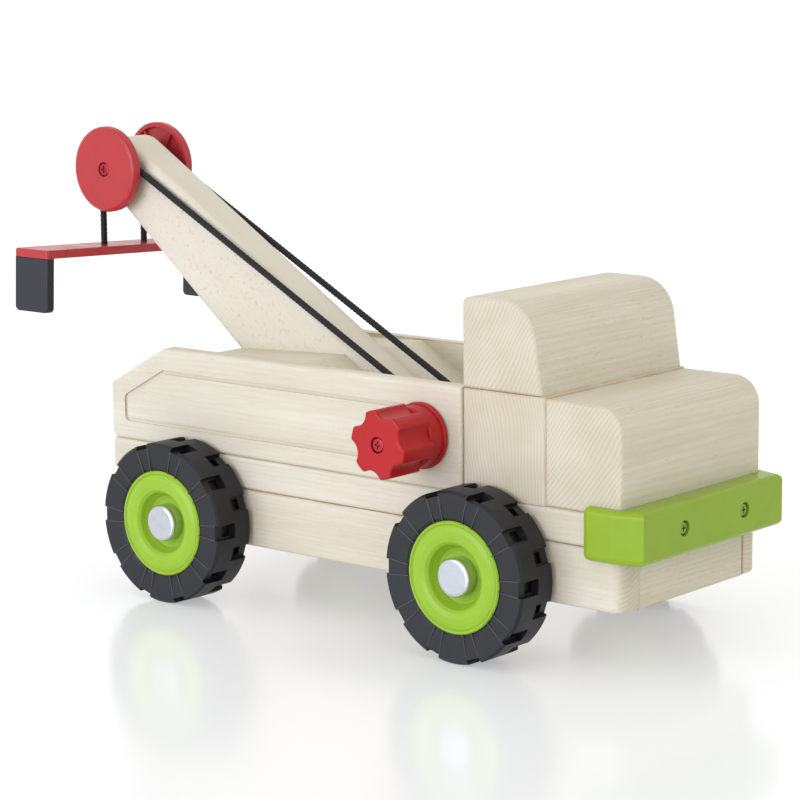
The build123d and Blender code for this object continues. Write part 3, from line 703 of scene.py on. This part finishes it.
class TRUCK_OT_tyres(bpy.types.Operator):
    """Rubber tyres with cut lugs and fine moulded ridges from the lugs' corners to the rim, the ridges
    painted lighter as a highlight
    """

    bl_idname = "truck.tyres"
    bl_label = "Tyres"

    def execute(self, context):
        colours = settings()[0]
        finish = rubber("tyre_rubber", colours.tyre)
        # The ridges get glossier rubber in a much lighter colour, a painted highlight.
        ridge_highlight = rubber("ridge_rubber_painted_highlight", colours.ridge, roughness=0.3)
        for name, side in SIDES.items():
            for place in AXLES:
                node = f"tyre_{place}_{name}"
                put_on(node, finish)
                self.ridges(node, f"wheel_{place}_{name}", side, ridge_highlight)
        return {"FINISHED"}

    def ridges(self, node, body, side, finish):
        """Two ridges at each gap between lugs, on both faces of the tyre."""
        low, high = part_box(node)
        centre = (low + high) / 2
        outer, inner = (low.y, high.y) if side < 0 else (high.y, low.y)
        pattern = self.ridge(f"{node}_ridge")
        shape = bmesh.new()
        for face, y in enumerate((outer - side * RIDGE_SINK, inner + side * RIDGE_SINK)):
            for lug in range(LUGS):
                for corner in (-0.5, 0.5):
                    gap = 2 * math.pi / LUGS * (lug + 0.5 + 0.5 * face)
                    turn = gap + corner * LUG_GAP / NOTCH_RADIUS
                    first = len(shape.verts)
                    shape.from_mesh(pattern)
                    made = list(shape.verts)[first:]
                    spin = Matrix.Rotation(turn, 3, "Y")
                    bmesh.ops.rotate(shape, verts=made, cent=(0, 0, 0), matrix=spin)
                    bmesh.ops.translate(shape, verts=made, vec=(centre.x, y, centre.z))
        bpy.data.meshes.remove(pattern)
        new_piece(f"{node}_ridges", mesh_from(shape, f"{node}_ridges"), body, finish)

    def ridge(self, name):
        """One ridge above the wheel's centre, from the rim to the notches."""
        reach = NOTCH_RADIUS - RIM_RADIUS
        shape = bmesh.new()
        bmesh.ops.create_cube(shape, size=1.0)
        bmesh.ops.scale(shape, verts=shape.verts, vec=(RIDGE_WIDTH, RIDGE_HEIGHT, reach))
        bmesh.ops.bevel(shape, geom=shape.edges, offset=RIDGE_EDGE, segments=2, profile=0.5, affect="EDGES")
        bmesh.ops.translate(shape, verts=shape.verts, vec=(0.0, 0.0, RIM_RADIUS + reach / 2))
        return mesh_from(shape, name)


class TRUCK_OT_stage(bpy.types.Operator):
    """White studio: a glowing floor, an even sky and one large soft light"""

    bl_idname = "truck.stage"
    bl_label = "Stage"

    def execute(self, context):
        colours, _, stage = settings()
        scene = context.scene
        scene.view_settings.view_transform = "Standard"
        shape = bmesh.new()
        bmesh.ops.create_grid(shape, x_segments=1, y_segments=1, size=stage.floor_size)
        bmesh.ops.translate(shape, verts=shape.verts, vec=(0.0, 0.0, -0.1 * MM))
        floor = bpy.data.objects.new("studio_floor", mesh_from(shape, "studio_floor"))
        scene.collection.objects.link(floor)
        finish = Finish("studio_floor", Roughness=0.17, IOR=1.40, Emission_Strength=stage.glow)
        grain = finish.noise(finish.place(), scale=9.0, detail=2.0)
        pale = tuple(colours.floor)
        shade = tuple(value * 0.985 for value in pale)
        floor.data.materials.append(finish.surface(Base_Color=finish.mix(grain, pale, shade)))
        finish.feed(finish.shader, {"Emission Color": (1.0, 1.0, 1.0, 1.0)})
        world = bpy.data.worlds.new("studio")
        scene.world = world
        world.use_nodes = True
        sky = world.node_tree.nodes["Background"]
        sky.inputs["Color"].default_value = (1.0, 1.0, 1.0, 1.0)
        sky.inputs["Strength"].default_value = stage.sky
        lamp = bpy.data.lights.new("side_light", "AREA")
        lamp.shape = "RECTANGLE"
        lamp.size, lamp.size_y = stage.key_size
        lamp.energy = stage.key
        lamp.color = stage.key_tint
        light = bpy.data.objects.new("side_light", lamp)
        scene.collection.objects.link(light)
        spot = Vector(stage.key_place)
        light.location = spot
        light.rotation_euler = (Vector((0.0, 0.0, 0.1)) - spot).to_track_quat("-Z", "Y").to_euler()
        return {"FINISHED"}


STEPS = (
    TRUCK_OT_camera,
    TRUCK_OT_cords,
    TRUCK_OT_timber,
    TRUCK_OT_plastics,
    TRUCK_OT_metals,
    TRUCK_OT_tyres,
    TRUCK_OT_stage,
)


class TRUCK_PT_panel(bpy.types.Panel):
    """Lists the truck's settings and the steps that finish it"""

    bl_idname = "TRUCK_PT_panel"
    bl_label = "Toy crane truck"
    bl_space_type = "VIEW_3D"
    bl_region_type = "UI"
    bl_category = "Truck"

    def draw(self, context):
        column = self.layout.column()
        for group in (context.scene.truck_colours, context.scene.truck_sizes, context.scene.truck_stage):
            for name in group.__annotations__:
                column.prop(group, name)
        for step in STEPS:
            column.operator(step.bl_idname)


GROUPS = {"truck_colours": TruckColours, "truck_sizes": TruckSizes, "truck_stage": TruckStage}


def register():
    for part in (*GROUPS.values(), *STEPS, TRUCK_PT_panel):
        bpy.utils.register_class(part)
    for name, group in GROUPS.items():
        setattr(bpy.types.Scene, name, bpy.props.PointerProperty(type=group))


def unregister():
    for name in GROUPS:
        delattr(bpy.types.Scene, name)
    for part in reversed((*GROUPS.values(), *STEPS, TRUCK_PT_panel)):
        bpy.utils.unregister_class(part)


def main():
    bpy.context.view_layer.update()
    register()
    for step in STEPS:
        group, name = step.bl_idname.split(".")
        getattr(getattr(bpy.ops, group), name)()


if __name__ == "__main__":
    main()
